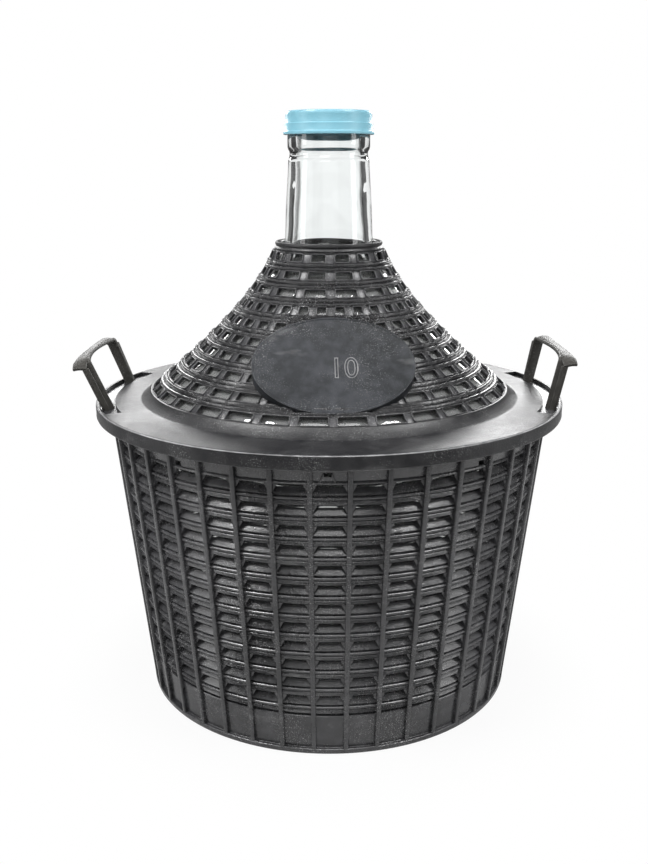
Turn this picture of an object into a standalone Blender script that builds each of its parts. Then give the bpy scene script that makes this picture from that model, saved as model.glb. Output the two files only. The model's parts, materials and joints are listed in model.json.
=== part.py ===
"""A ten litre demijohn: a glass bottle in a moulded basket, under a conical cover, with a push-on cap."""
import math
import bmesh
import bpy
from mathutils import Matrix, Vector

# Sizes in metres. The front faces -Y, the handles lie along X and the object stands on z = 0.
running_gap = 0.0003          # between two pieces that touch or slide

# Basket
basket_height = 0.1970        # top of the rim
base_radius = 0.1246          # outer face of the ribs at the floor
wall_taper = 0.108            # the wall leans out by this much per unit of height
wall_thickness = 0.0032
rib_count = 40
rib_width = 0.0031
rib_depth = 0.0022            # how far a rib stands out of the wall
ledge_height = 0.0023
slot_rows = 12
slot_pitch = 0.01255
slot_height = 0.0056
lowest_slot = 0.0378          # middle of the lowest row of slots
cane_bevel = 0.0016           # how far a slot widens towards the outside
rim_thickness = 0.0036
floor_height = 0.0030         # underside of the floor
floor_thickness = 0.0020
foot_width = 0.0100           # ring that the basket stands on
drain_radius = 0.0150

# Cover
flange_radius = 0.1550
flange_thickness = 0.0022
flange_edge = 0.0012          # bevel round the flange
skirt_thickness = 0.0022
skirt_height = 0.0088
bead_reach = 0.0020           # how far the snap bead reaches under the rim
bead_height = 0.0024
foot_radius = 0.1256          # where the cone meets the flange
cone_height = 0.1008
cone_waist_radius = 0.0455    # control point of the cone's curved line
cone_waist_height = 0.0625
cone_thickness = 0.0022
collar_thickness = 0.0041
collar_depth = 0.0032
opening_gap = 0.0024          # between the glass neck and the cover's opening
window_rows = 10
wide_rows = 3                 # the upper rows have half as many windows
bar_count = 32
bar_width = 0.0042
first_window = 0.0088         # middle of the top row, measured down the cone's line
window_pitch = 0.0116         # from the top row to the next, down the line
pitch_growth = 0.0003         # each later pitch is longer by this
window_share = 0.47           # share of the pitch that is open
cane_rise = 0.0008            # the canes between the windows stand out of the cone

# Oval plate on the cover
plate_width = 0.0965
plate_length = 0.0690
plate_thickness = 0.0022
plate_rise = 0.0012
plate_middle = 0.0820         # middle of the plate, measured down the cone's line
plate_wall = 0.0022

# Handles. Each is a frame with a wing at each end and a plate beside each leg
handle_opening = 0.0770       # between the frame's legs, measured round the rim
opening_top = 0.0750          # the same under the grip
frame_width = 0.0025          # of each leg
frame_top = 0.0300            # above the flange, measured up the handle
frame_depth = 0.0072
frame_corner = 0.0030
grip_thickness = 0.0028
wing_start = 0.0080           # the grip rises outwards from here to a fold over the leg
fold_rise = 0.0024            # of the grip's outer edge at the fold
wing_inner = 0.0043           # the wing's end, measured outwards from the frame's inner face
wing_outer = 0.0124
wing_low = 0.0262             # heights of the end's inner and outer corner
wing_high = 0.0302
wing_thickness = 0.0022
side_gap = 0.0038             # between a leg and the plate beside it
side_thickness = 0.0022
side_depth = 0.0042
side_height = 0.0235
web_thickness = 0.0018
web_height = 0.0205
left_lean = 22.8              # degrees outwards; the two bend by different amounts
right_lean = 11.7
slot_end_gap = 0.0190         # from a handle to the end of its slot in the flange

# Glass
neck_radius = 0.0284          # where the neck comes out of the cover
neck_top_radius = 0.0260
throat_radius = 0.0248        # groove under the mouth
mouth_radius = 0.02635
neck_rise = 0.0786            # mouth above the top of the cover
mouth_band = 0.0215
throat_band = 0.0060
glass_wall = 0.0036
neck_wall = 0.0062
body_gap = 0.0030             # between the glass and the basket
shoulder_gap = 0.0040         # between the glass and the cover
heel_radius = 0.0200
punt_height = 0.0100
heel_width = 0.0120

# Cap
cap_wall = 0.0009
cap_height = 0.0145
cap_top = 0.0018
cap_step = 0.0075             # from the top to the step
cap_step_reach = 0.0005
cap_lip = 0.0019
cap_lip_reach = 0.0014
plug_depth = 0.0060
plug_wall = 0.0012

glass_sides = 24
flange_sides = 64


def clear_scene():
    for item in list(bpy.data.objects):
        bpy.data.objects.remove(item, do_unlink=True)
    for group in list(bpy.data.collections):
        bpy.data.collections.remove(group)


def new_group(name):
    group = bpy.data.collections.new(name)
    bpy.context.scene.collection.children.link(group)
    return group


def new_material(name, colour, roughness, metallic=0.0, transmission=0.0):
    material = bpy.data.materials.new(name)
    material.use_nodes = True
    shader = material.node_tree.nodes["Principled BSDF"]
    shader.inputs["Base Color"].default_value = (*colour, 1.0)
    shader.inputs["Roughness"].default_value = roughness
    shader.inputs["Metallic"].default_value = metallic
    shader.inputs["Transmission Weight"].default_value = transmission
    return material


def new_object(name, mesh, group, material=None):
    item = bpy.data.objects.new(name, mesh)
    group.objects.link(item)
    if material:
        item.data.materials.append(material)
    return item


def finish_mesh(bm, name):
    bmesh.ops.recalc_face_normals(bm, faces=bm.faces)
    mesh = bpy.data.meshes.new(name)
    bm.to_mesh(mesh)
    bm.free()
    return mesh


def turned_solid(name, points, sides, group):
    """A solid of revolution. Its outline starts and ends on the axis."""
    mesh = bpy.data.meshes.new(name)
    edges = [(i, i + 1) for i in range(len(points) - 1)]
    mesh.from_pydata([(radius, 0.0, height) for radius, height in points], edges, [])
    item = new_object(name, mesh, group)
    screw = item.modifiers.new("turn", "SCREW")
    screw.axis = "Z"
    screw.steps = sides
    screw.render_steps = sides
    screw.use_merge_vertices = True
    screw.merge_threshold = 0.00001
    apply_modifiers(item)
    return item


def apply_modifiers(item):
    """Replace an object's mesh by what its modifiers make of it, with its faces turned outwards."""
    depsgraph = bpy.context.evaluated_depsgraph_get()
    depsgraph.update()
    mesh = bpy.data.meshes.new_from_object(item.evaluated_get(depsgraph))
    item.modifiers.clear()
    item.data = mesh
    face_outwards(item)


def face_outwards(item):
    bm = bmesh.new()
    bm.from_mesh(item.data)
    bmesh.ops.remove_doubles(bm, verts=bm.verts, dist=0.000002)
    bmesh.ops.recalc_face_normals(bm, faces=bm.faces)
    bm.to_mesh(item.data)
    bm.free()


def combine(item, tool, operation):
    """Join a tool to an object or cut it away, and drop the tool."""
    change = item.modifiers.new(operation.lower(), "BOOLEAN")
    change.operation = operation
    change.solver = "EXACT"
    change.object = tool
    apply_modifiers(item)
    bpy.data.objects.remove(tool, do_unlink=True)


def outline_solid(name, points, depth, group):
    """A flat outline in the XY plane, made thick from z = 0 upwards."""
    curve = bpy.data.curves.new(name, "CURVE")
    curve.dimensions = "2D"
    curve.fill_mode = "BOTH"
    curve.extrude = depth / 2
    line = curve.splines.new("POLY")
    line.points.add(len(points) - 1)
    for point, (x, y) in zip(line.points, points):
        point.co = (x, y, 0.0, 1.0)
    line.use_cyclic_u = True
    shape = new_object(name, curve, group)
    depsgraph = bpy.context.evaluated_depsgraph_get()
    depsgraph.update()
    mesh = bpy.data.meshes.new_from_object(shape.evaluated_get(depsgraph))
    bpy.data.objects.remove(shape, do_unlink=True)
    mesh.transform(Matrix.Translation((0, 0, depth / 2)))
    item = new_object(name, mesh, group)
    face_outwards(item)
    return item


def box(name, size, centre, group):
    bm = bmesh.new()
    bmesh.ops.create_cube(bm, size=1.0, matrix=Matrix.Translation(centre) @ Matrix.Diagonal((*size, 1.0)))
    return new_object(name, finish_mesh(bm, name), group)


def arc(centre, radius, start, end, steps):
    """Points of an arc in the plane, from one angle to another in degrees."""
    turns = [math.radians(start + (end - start) * i / steps) for i in range(steps + 1)]
    return [(centre[0] + radius * math.cos(a), centre[1] + radius * math.sin(a)) for a in turns]


# Lattices: an outline turned round Z, with its columns slid to the edges of upright bars

class Lattice:
    """A turned shell whose rings are "plain", "bars", "wide" (every second bar) or "even"."""

    def __init__(self, rings, bars, width, start):
        self.pitch = math.tau / bars
        self.start = start
        self.bars = bars
        self.width = width
        self.rings = rings
        self.bm = bmesh.new()
        self.layer = self.bm.verts.layers.int.new("ring")
        ring = [self.bm.verts.new((radius, 0.0, height)) for radius, height, kind in rings]
        for i, vert in enumerate(ring):
            vert[self.layer] = i
        edges = [self.bm.edges.new((ring[i - 1], ring[i])) for i in range(len(ring))]
        turn = Matrix.Rotation(start + self.pitch / 4, 3, "Z")
        bmesh.ops.rotate(self.bm, verts=ring, matrix=turn)
        bmesh.ops.spin(self.bm, geom=ring + edges, axis=(0, 0, 1), angle=math.tau,
                       steps=bars * 2, use_merge=True)
        self.slide_columns()

    def turns(self, point):
        """How many pitches a point lies round from the first bar."""
        return ((math.atan2(point.y, point.x) - self.start) / self.pitch) % self.bars

    def slide_columns(self):
        for vert in self.bm.verts:
            radius, height, kind = self.rings[vert[self.layer]]
            bar = round(self.turns(vert.co))
            side = 1.0 if self.turns(vert.co) > bar else -1.0
            half = self.width / 2 / radius
            if kind == "plain" or (kind == "wide" and bar % 2):
                half = 0.0
            if kind == "even":
                half = self.pitch / 4
            angle = self.start + bar * self.pitch + side * half
            vert.co.xy = radius * math.cos(angle), radius * math.sin(angle)
        bmesh.ops.remove_doubles(self.bm, verts=self.bm.verts, dist=0.000005)

    def cells(self, rings, span=1):
        """The faces between two rings, in one list for each window of this many columns."""
        found = [[] for i in range(0, self.bars, span)]
        for face in self.bm.faces:
            if {v[self.layer] for v in face.verts} == set(rings):
                turns = self.turns(face.calc_center_median())
                if 0.25 < turns % span < span - 0.25:
                    found[int(turns / span)].append(face)
        return found


def open_window(bm, outside, inside):
    """Take away the outer and inner faces of a window and close the gap with its side walls."""
    rims, seams = [], []
    for faces in (outside, inside):
        for edge in {e for f in faces for e in f.edges}:
            shared = sum(f in faces for f in edge.link_faces)
            (rims if shared == 1 else seams).append(edge)
    bmesh.ops.delete(bm, geom=outside + inside, context="FACES_ONLY")
    bmesh.ops.delete(bm, geom=seams, context="EDGES")
    bmesh.ops.bridge_loops(bm, edges=rims)


# Sizes that follow from the ones above

rim_bottom = basket_height - rim_thickness
floor_top = floor_height + floor_thickness
skirt_inner_radius = flange_radius - skirt_thickness
rim_radius = skirt_inner_radius - 2 * running_gap
slot_outer_radius = skirt_inner_radius - running_gap
leg_radius = slot_outer_radius - 2 * running_gap
flange_bottom = basket_height + running_gap
flange_top = flange_bottom + flange_thickness
opening_radius = neck_radius + opening_gap
collar_radius = opening_radius + collar_thickness
cover_top = flange_top + cone_height
mouth_height = cover_top + neck_rise
handle_span = handle_opening + 2 * (frame_width + side_gap + side_thickness)
bottle_base = floor_top + running_gap


def rib_radius(height):
    """Outer face of the ribs."""
    return base_radius + wall_taper * height


def wall_radius(height):
    """Inner face of the basket's wall."""
    return rib_radius(height) - rib_depth - wall_thickness


# Basket

def slot_lines():
    """Heights of the lines between the rows outside, and of each slot's lower and upper edge inside."""
    middles = [lowest_slot + i * slot_pitch for i in range(slot_rows)]
    between = [(a + b) / 2 for a, b in zip(middles, middles[1:])]
    reach = slot_height / 2 + cane_bevel
    outside = [middles[0] - reach] + between + [middles[-1] + reach]
    inside = [(m - slot_height / 2, m + slot_height / 2) for m in middles]
    return outside, inside


def cut_across(bm, faces, heights):
    """Cut faces at each height and return the pieces, by the height of their middle."""
    for height in heights:
        edges = {e for f in faces for e in f.edges}
        geom = list(faces) + list(edges) + list({v for e in edges for v in e.verts})
        cut = bmesh.ops.bisect_plane(bm, geom=geom, dist=0.000001,
                                     plane_co=(0, 0, height), plane_no=(0, 0, 1))
        faces = [part for part in cut["geom"] if isinstance(part, bmesh.types.BMFace)]
    return faces


def basket_wall(group, material):
    stand = base_radius - foot_width
    rings = [
        (base_radius, 0.0, "plain"),
        (rib_radius(ledge_height), ledge_height, "bars"),
        (rib_radius(rim_bottom), rim_bottom, "bars"),
        (rim_radius, rim_bottom, "plain"),
        (rim_radius, basket_height, "plain"),
        (wall_radius(basket_height), basket_height, "plain"),
        (wall_radius(floor_top), floor_top, "plain"),
        (drain_radius, floor_top, "plain"),
        (drain_radius, floor_height, "plain"),
        (stand, floor_height, "plain"),
        (stand, 0.0, "plain"),
    ]
    lattice = Lattice(rings, rib_count, rib_width, math.pi / rib_count)
    bm = lattice.bm
    panels = [face for faces in lattice.cells((1, 2)) for face in faces]
    inner = [face for faces in lattice.cells((5, 6)) for face in faces]
    panels = bmesh.ops.extrude_discrete_faces(bm, faces=panels)["faces"]
    for panel in panels:
        outward = panel.calc_center_median()
        outward.z = 0.0
        bmesh.ops.translate(bm, verts=panel.verts, vec=-rib_depth * outward.normalized())
    outside, inside = slot_lines()
    outer_parts = cut_across(bm, panels, outside)
    inner_parts = cut_across(bm, inner, [height for pair in inside for height in pair])
    slots = {}
    for side, parts in enumerate((outer_parts, inner_parts)):
        for part in parts:
            middle = part.calc_center_median()
            for row, (low, high) in enumerate(inside):
                limits = (low, high) if side else (outside[row], outside[row + 1])
                if limits[0] < middle.z < limits[1]:
                    slots.setdefault((int(lattice.turns(middle)), row), []).append(part)
    for outer_face, inner_face in slots.values():
        open_window(bm, [outer_face], [inner_face])
    return new_object("basket", finish_mesh(bm, "basket"), group, material)


def block(name, along, height, depth, group):
    """A box between two limits along the rim, up the handle and through it."""
    limits = [sorted(pair) for pair in (along, height, depth)]
    size = [high - low for low, high in limits]
    centre = [(high + low) / 2 for low, high in limits]
    return box(name, size, centre, group)


def mirrored(line):
    """A line of points on the other side, in the opposite order."""
    return [(-x, y) for x, y in reversed(line)]


def flat_handle(group):
    """A handle drawn flat: X along the rim, Y up the handle and Z outwards through it."""
    half, top_half = handle_opening / 2, opening_top / 2
    side, top_side = half + frame_width, top_half + frame_width
    grip = frame_top - grip_thickness
    right = [(side, -frame_depth), (side, 0.0)]
    right += arc((top_side - frame_corner, frame_top - frame_corner), frame_corner, 0, 90, 2)
    inside = [(-half, -frame_depth), (-half, 0.0), (-top_half, grip)]
    points = right + mirrored(right) + inside + mirrored(inside)
    piece = outline_solid("handle", points, frame_depth, group)
    inner, outer = side + side_gap, handle_span / 2
    web_depth = frame_depth - running_gap
    leg, plate_middle_line = side - frame_width / 2, inner + side_thickness / 2
    leg_top = leg - (side - top_side) * web_height / frame_top
    web_line = [(leg, -frame_depth), (plate_middle_line, -frame_depth),
                (plate_middle_line, web_height), (leg_top, web_height), (leg, 0.0)]
    for line in (web_line, mirrored(web_line)):
        web = outline_solid("web", line, web_thickness, group)
        web.data.transform(Matrix.Translation((0, 0, web_depth - web_thickness)))
        combine(piece, web, "UNION")
    for turn in (-1, 1):
        plate = block("side", (turn * inner, turn * outer), (-frame_depth, side_height),
                      (frame_depth - side_depth, frame_depth), group)
        combine(piece, plate, "UNION")
    top = frame_top - running_gap
    start = [(wing_start, top, running_gap), (wing_start, top, web_depth)]
    fold = [(top_half, top, running_gap), (top_half, top + fold_rise, web_depth)]
    end = [(outer + running_gap, wing_low, wing_inner), (outer + running_gap, wing_high, wing_outer)]
    for turn in (-1, 1):
        combine(piece, wing(group, turn, start + fold), "UNION")
        combine(piece, wing(group, turn, fold + end), "UNION")
    return piece


def wing(group, turn, corners):
    """A stretch of the grip's wing, hung from the corners of its upper face."""
    bm = bmesh.new()
    for along, height, depth in corners:
        bm.verts.new((turn * along, height, depth))
        bm.verts.new((turn * along, height - wing_thickness, depth))
    bmesh.ops.convex_hull(bm, input=bm.verts)
    return new_object("wing", finish_mesh(bm, "wing"), group)


def handle(group, side, lean):
    """A handle bent round the rim and leaning outwards, with its feet inside the rim."""
    piece = flat_handle(group)
    foot = basket_height - rim_thickness / 2
    tilt = math.radians(lean)
    bm = bmesh.new()
    bm.from_mesh(piece.data)
    for along in (-handle_opening / 4, 0.0, handle_opening / 4):
        geom = list(bm.verts) + list(bm.edges) + list(bm.faces)
        bmesh.ops.bisect_plane(bm, geom=geom, dist=0.000001, plane_co=(along, 0, 0), plane_no=(1, 0, 0))
    bmesh.ops.triangulate(bm, faces=[f for f in bm.faces if len(f.verts) > 4])
    for vert in bm.verts:
        along, height, depth = vert.co
        inside = frame_depth - depth
        if height < 0.0:
            height = (foot - flange_top - inside * math.sin(tilt)) / math.cos(tilt)
        radius = leg_radius + height * math.sin(tilt) - inside * math.cos(tilt)
        angle = along / leg_radius
        vert.co = side * radius * math.cos(angle), side * radius * math.sin(angle), 0.0
        vert.co.z = flange_top + height * math.cos(tilt) + inside * math.sin(tilt)
    bm.to_mesh(piece.data)
    bm.free()
    face_outwards(piece)
    return piece


def make_basket(group, tools, material):
    basket = basket_wall(group, material)
    combine(basket, handle(tools, -1, left_lean), "UNION")
    combine(basket, handle(tools, 1, right_lean), "UNION")
    return basket


# Cover, drawn from the underside of its flange at z = 0

def cone_line():
    """The cone's outer line from collar to flange, as (distance down the line, radius, height) points."""
    top = Vector((collar_radius, flange_thickness + cone_height))
    waist = Vector((cone_waist_radius, flange_thickness + cone_waist_height))
    foot = Vector((foot_radius, flange_thickness))
    points, length, last = [], 0.0, top
    for i in range(201):
        t = i / 200
        point = (1 - t) ** 2 * top + 2 * t * (1 - t) * waist + t ** 2 * foot
        length += (point - last).length
        points.append((length, point))
        last = point
    return points


def cone_at(distance, offset=0.0):
    """The point at a distance down the cone's line, moved outwards by an offset."""
    line = cone_line()
    last = len(line) - 2
    i = min(next((i for i, (s, p) in enumerate(line) if s > distance), last + 1), last + 1) - 1
    (s0, p0), (s1, p1) = line[max(i, 0)], line[max(i, 0) + 1]
    point = p0.lerp(p1, (distance - s0) / (s1 - s0))
    along = (p1 - p0).normalized()
    return point + offset * Vector((-along.y, along.x))


def window_lines():
    """Each row's upper and lower edge, and the lines between rows, as distances down the cone's line."""
    edges, middle = [], first_window
    for row in range(window_rows):
        pitch = window_pitch + pitch_growth * row
        edges.append((middle - window_share * pitch / 2, middle + window_share * pitch / 2))
        middle += pitch
    between = [(a[1] + b[0]) / 2 for a, b in zip(edges, edges[1:])]
    lines = [edges[0][0] - cane_bevel] + between + [edges[-1][1] + cane_bevel]
    return edges, lines


def plate_frame():
    """The oval plate's own axes: X across, Y up its slope, Z out of its face."""
    high = cone_at(plate_middle - plate_length / 2)
    low = cone_at(plate_middle + plate_length / 2)
    slope = Vector((0.0, low.x - high.x, high.y - low.y)).normalized()
    across = Vector((1.0, 0.0, 0.0))
    out = across.cross(slope)
    middle = (high + low) / 2
    centre = Vector((0.0, -middle.x, middle.y)) + plate_rise * out
    frame = Matrix((across, slope, out)).transposed().to_4x4()
    frame.translation = centre
    return frame


def oval(name, inset, top, bottom, group):
    """An elliptic cylinder in the plate's frame, between two depths under its face."""
    bm = bmesh.new()
    bmesh.ops.create_cone(bm, cap_ends=True, segments=24, radius1=1.0, radius2=1.0, depth=1.0)
    scale = Matrix.Diagonal((plate_width / 2 - inset, plate_length / 2 - inset, top - bottom, 1.0))
    lift = Matrix.Translation((0, 0, (top + bottom) / 2))
    bmesh.ops.transform(bm, matrix=plate_frame() @ lift @ scale, verts=bm.verts)
    return new_object(name, finish_mesh(bm, name), group)


def under_plate(face, frame):
    """Whether all of a face lies under the oval plate."""
    inverse = frame.inverted()
    places = [inverse @ v.co for v in face.verts]
    return all((p.x / (plate_width / 2)) ** 2 + (p.y / (plate_length / 2)) ** 2 < 0.96 and p.z > -0.03
               for p in places)


def cone_shell(group, material):
    edges, lines = window_lines()
    rings = [(opening_radius, flange_thickness + cone_height, "plain"),
             (collar_radius, flange_thickness + cone_height, "plain")]
    for i, line in enumerate(lines):
        rise = cane_rise if 0 < i < window_rows else 0.0
        rings.append((*cone_at(line, rise), "wide" if i < wide_rows else "bars"))
    first_line = 2
    rings += [
        (foot_radius, flange_thickness, "plain"),
        (flange_radius - flange_edge, flange_thickness, "even"),
        (flange_radius, flange_thickness - flange_edge, "even"),
        (flange_radius, flange_thickness - skirt_height, "even"),
        (skirt_inner_radius - bead_reach, flange_thickness - skirt_height, "even"),
        (skirt_inner_radius, flange_thickness - skirt_height + bead_height, "even"),
        (skirt_inner_radius, 0.0, "even"),
        (foot_radius - cone_thickness, 0.0, "plain"),
    ]
    first_edge = len(rings)
    for high, low in reversed(edges):
        rings += [(*cone_at(low, -cone_thickness), "plain"), (*cone_at(high, -cone_thickness), "plain")]
    rings.append((opening_radius, flange_thickness + cone_height - collar_depth, "plain"))
    lattice = Lattice(rings, bar_count, bar_width, 0.0)
    frame = plate_frame()
    for row in range(window_rows):
        span = 2 if row < wide_rows else 1
        low_ring = first_edge + 2 * (window_rows - 1 - row)
        outer = lattice.cells((first_line + row, first_line + row + 1), span)
        inner = lattice.cells((low_ring, low_ring + 1), span)
        for outer_faces, inner_faces in zip(outer, inner):
            if not all(under_plate(face, frame) for face in outer_faces):
                open_window(lattice.bm, outer_faces, inner_faces)
    return new_object("cover", finish_mesh(lattice.bm, "cover"), group, material)


def inner_cone(group):
    """The space under the cone, up to the middle of its wall."""
    length = cone_line()[-1][0]
    wall = [cone_at(length * (1 - i / 12), -cone_thickness / 2) for i in range(13)]
    points = [(0.0, -cone_height), (wall[0].x, -cone_height)] + [tuple(point) for point in wall]
    points.append((0.0, points[-1][1]))
    return turned_solid("inner_cone", points, flange_sides, group)


def make_cover(group, tools, material):
    cover = cone_shell(group, material)
    depth = plate_width / 4
    plate = oval("plate", 0.0, 0.0, -depth, tools)
    combine(plate, oval("plate_hollow", plate_wall, -plate_thickness, -2 * depth, tools), "DIFFERENCE")
    combine(plate, inner_cone(tools), "DIFFERENCE")
    combine(cover, oval("plate_hole", plate_wall / 2, depth / 4, -depth, tools), "DIFFERENCE")
    combine(cover, plate, "UNION")
    reach = math.degrees((handle_span / 2 + slot_end_gap) / slot_outer_radius)
    tilt = math.radians(left_lean)
    slot_inner_radius = leg_radius - frame_depth / math.cos(tilt) - 3 * running_gap
    slot_inner_radius -= flange_thickness * math.tan(tilt)
    for middle in (0, 180):
        points = arc((0, 0), slot_outer_radius, middle - reach, middle + reach, 8)
        points += arc((0, 0), slot_inner_radius, middle + reach, middle - reach, 8)
        slot = outline_solid("slot", points, 4 * flange_thickness, tools)
        slot.location.z = -1.5 * flange_thickness
        combine(cover, slot, "DIFFERENCE")
    cover.location.z = flange_bottom
    return cover


# Bottle, drawn from the ring that it stands on at z = 0

def offset_line(points, walls):
    """Points moved to the inner side of an outline by the wall at each."""
    moved = []
    for i, point in enumerate(points):
        before = Vector(points[max(i - 1, 0)])
        after = Vector(points[min(i + 1, len(points) - 1)])
        along = (after - before).normalized()
        inward = Vector((-along.y, along.x))
        moved.append(tuple(Vector(point) + walls[i] * inward))
    return moved


def body_radius(height):
    return wall_radius(bottle_base + height) - body_gap


def body_line():
    """The bottle's outer line from the heel to the top of the shoulder, under the cone."""
    heel = body_radius(heel_radius) - heel_radius
    line = arc((heel, heel_radius), heel_radius, -90, 0, 2)
    cover_base = flange_bottom - bottle_base
    length = cone_line()[-1][0]
    shoulder = []
    for share in (0.96, 0.74, 0.52, 0.32, 0.14):
        radius, height = cone_at(length * share, -cone_thickness - shoulder_gap)
        shoulder.append((radius, cover_base + height))
    widest = shoulder[0][1] - 0.024
    line += [(body_radius(widest), widest)]
    line += [(shoulder[0][0] + 0.0060, shoulder[0][1] - 0.0070)] + shoulder
    return line


def make_bottle(group, material):
    body = body_line()
    inner = offset_line(body, [glass_wall] * (len(body) - 2) + [glass_wall * 1.2, glass_wall * 1.4])
    heel = body[0][0] - heel_width
    throat = mouth_radius - neck_wall
    rim = mouth_height - bottle_base
    base = [(0.0, punt_height), (heel, 0.0)]
    neck = [
        (neck_radius, cover_top - bottle_base),
        (neck_top_radius, rim - mouth_band - throat_band),
        (throat_radius, rim - mouth_band - throat_band + 0.0010),
        (throat_radius, rim - mouth_band - 0.0008),
        (mouth_radius, rim - mouth_band),
        (mouth_radius, rim - 0.0010),
        (mouth_radius - 0.0010, rim),
        (throat, rim),
        (neck_radius - neck_wall, cover_top - bottle_base),
    ]
    inside = inner[:4:-1] + [inner[3], inner[2], inner[0]]
    outline = base + body + neck + inside + [(0.0, punt_height + glass_wall)]
    bottle = turned_solid("bottle", outline, glass_sides, group)
    bottle.data.materials.append(material)
    bottle.location.z = bottle_base
    return bottle


# Cap, drawn from the mouth's rim at z = 0

def make_cap(group, material):
    inside = mouth_radius + running_gap
    outside = inside + cap_wall
    top = running_gap + cap_top
    bottom = top - cap_height
    step = top - cap_step
    plug = mouth_radius - neck_wall - running_gap
    outline = [
        (0.0, top), (outside - 0.0010, top), (outside, top - 0.0010), (outside, step),
        (outside + cap_step_reach, step - cap_step_reach), (outside + cap_step_reach, bottom + cap_lip),
        (outside + cap_lip_reach, bottom + cap_lip), (outside + cap_lip_reach, bottom), (inside, bottom),
        (inside, running_gap), (plug, running_gap), (plug, -plug_depth), (plug - plug_wall, -plug_depth),
        (plug - plug_wall, running_gap), (0.0, running_gap),
    ]
    cap = turned_solid("cap", outline, glass_sides, group)
    cap.data.materials.append(material)
    cap.location.z = mouth_height - bottle_base
    return cap


def main():
    clear_scene()
    parts = new_group("demijohn")
    tools = new_group("cutters")
    basket_black = new_material("basket_plastic", (0.035, 0.035, 0.038), 0.38)
    cover_black = new_material("cover_plastic", (0.035, 0.035, 0.038), 0.38)
    glass = new_material("green_glass", (0.80, 0.93, 0.90), 0.03, transmission=1.0)
    blue = new_material("blue_plastic", (0.24, 0.60, 0.78), 0.42)
    make_basket(parts, tools, basket_black)
    make_cover(parts, tools, cover_black)
    bottle = make_bottle(parts, glass)
    cap = make_cap(parts, blue)
    cap.parent = bottle


main()
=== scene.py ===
import json
import math

import bmesh
import bpy
from mathutils import Matrix, Vector

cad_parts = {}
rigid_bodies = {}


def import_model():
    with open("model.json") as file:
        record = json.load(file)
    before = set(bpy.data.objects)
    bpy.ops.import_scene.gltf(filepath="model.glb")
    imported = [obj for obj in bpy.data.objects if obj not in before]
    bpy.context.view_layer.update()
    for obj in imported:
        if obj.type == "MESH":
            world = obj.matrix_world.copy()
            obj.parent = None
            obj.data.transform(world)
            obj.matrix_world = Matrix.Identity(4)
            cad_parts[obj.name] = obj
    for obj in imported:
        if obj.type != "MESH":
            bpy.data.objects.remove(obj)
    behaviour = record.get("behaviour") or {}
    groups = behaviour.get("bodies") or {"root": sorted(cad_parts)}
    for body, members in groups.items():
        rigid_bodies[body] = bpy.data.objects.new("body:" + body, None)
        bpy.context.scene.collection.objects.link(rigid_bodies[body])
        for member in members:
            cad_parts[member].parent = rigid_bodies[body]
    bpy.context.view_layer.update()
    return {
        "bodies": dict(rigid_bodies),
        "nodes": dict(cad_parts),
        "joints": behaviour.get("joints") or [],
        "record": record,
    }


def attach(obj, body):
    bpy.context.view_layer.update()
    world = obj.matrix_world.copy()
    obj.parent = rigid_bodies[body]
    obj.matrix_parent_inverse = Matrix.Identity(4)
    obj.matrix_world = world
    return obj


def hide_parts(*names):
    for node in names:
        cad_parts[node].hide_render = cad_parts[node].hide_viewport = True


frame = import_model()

# A ten litre demijohn. Metres, the front faces -Y and the handles lie along X.


# Modelling steps that several pieces share

mergeDistance = 0.000005


def clearSelection():
    if bpy.context.object and bpy.context.object.mode != "OBJECT":
        bpy.ops.object.mode_set(mode="OBJECT")
    bpy.ops.object.select_all(action="DESELECT")


def makeActive(piece):
    clearSelection()
    piece.select_set(True)
    bpy.context.view_layer.objects.active = piece


def startEdit(piece):
    makeActive(piece)
    bpy.ops.object.mode_set(mode="EDIT")
    bpy.ops.mesh.select_all(action="SELECT")


def endEdit():
    # leaves edit mode with all faces pointing outwards
    bpy.ops.mesh.select_all(action="SELECT")
    bpy.ops.mesh.normals_make_consistent(inside=False)
    bpy.ops.object.mode_set(mode="OBJECT")


def drawLine(name, points, closed=True):
    # a new mesh in edit mode: one vertex, extruded from point to point
    clearSelection()
    bpy.ops.mesh.primitive_plane_add(size=0.001)
    piece = bpy.context.object
    piece.name = name
    bpy.ops.object.mode_set(mode="EDIT")
    bpy.ops.mesh.merge(type="CENTER")
    bpy.ops.transform.translate(value=points[0])
    last = Vector(points[0])
    for point in list(points[1:]) + ([points[0]] if closed else []):
        step = Vector(point) - last
        bpy.ops.mesh.extrude_vertices_move(TRANSFORM_OT_translate={"value": step})
        last = Vector(point)
    bpy.ops.mesh.select_all(action="SELECT")
    bpy.ops.mesh.remove_doubles(threshold=mergeDistance)
    return piece


def turnedPiece(name, outline, steps, closed=True):
    piece = drawLine(name, [(radius, 0, height) for radius, height in outline], closed)
    bpy.ops.mesh.spin(steps=steps, angle=math.tau, center=(0, 0, 0), axis=(0, 0, 1))
    bpy.ops.mesh.select_all(action="SELECT")
    bpy.ops.mesh.remove_doubles(threshold=mergeDistance)
    endEdit()
    return piece


def flatPiece(name, points, thickness):
    # an outline filled and pushed out by a thickness
    piece = drawLine(name, points)
    bpy.ops.mesh.edge_face_add()
    bpy.ops.mesh.extrude_region_move(TRANSFORM_OT_translate={"value": thickness})
    endEdit()
    return piece


def addBlock(name, size, place, turn=(0, 0, 0)):
    clearSelection()
    bpy.ops.mesh.primitive_cube_add(size=1, location=place, rotation=turn, scale=size)
    piece = bpy.context.object
    piece.name = name
    bpy.ops.object.transform_apply(location=True, rotation=True, scale=True)
    return piece


def pickFaces(piece, test):
    shape = bmesh.from_edit_mesh(piece.data)
    for face in shape.faces:
        face.select_set(False)
    for face in shape.faces:
        if test(face):
            face.select_set(True)
    bmesh.update_edit_mesh(piece.data)


def turnPiece(piece, degrees):
    piece.data.transform(Matrix.Rotation(math.radians(degrees), 4, "Z"))


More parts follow.
